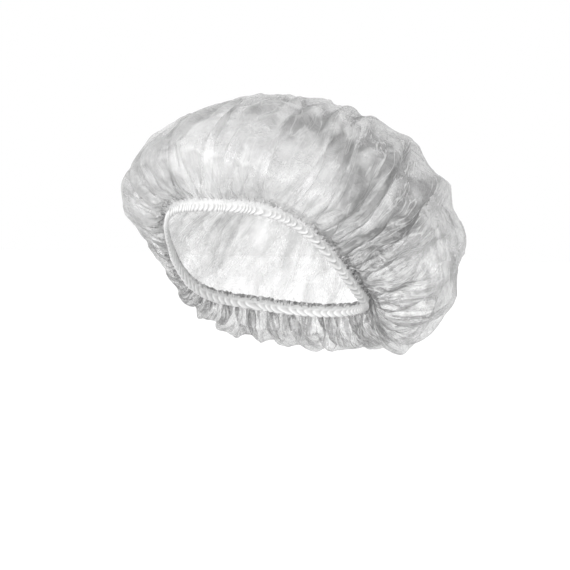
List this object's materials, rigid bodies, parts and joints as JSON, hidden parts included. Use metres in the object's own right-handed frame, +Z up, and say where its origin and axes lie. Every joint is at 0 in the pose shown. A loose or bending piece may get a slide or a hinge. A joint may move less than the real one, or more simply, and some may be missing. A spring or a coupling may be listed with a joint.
{
  "type": "disposable shower cap",
  "caption": "Round gathered film cap with an elastic hem, in its worn shape, slack bag behind the nape.",
  "frame": {"origin": "centre of the head opening, halfway in height between the hem at the forehead and the hem at the nape", "axes": "+Z up along the wearer's head, +Y to the back of the head, +X to the wearer's left"},
  "size_m": [0.2779, 0.2881, 0.2133],
  "materials": {
    "clear_film": "clear blown polyethylene film, glossy, crumpled and finely pleated",
    "hem_film": "the same film folded double and gathered in small puckers, so it looks milky white",
    "white_elastic": "flat white elastic, matt, seen through the hem"
  },
  "bodies": {
    "root": {"crown_film": "clear_film", "hem_casing": "hem_film", "elastic_band": "white_elastic"}
  },
  "joints": []
}
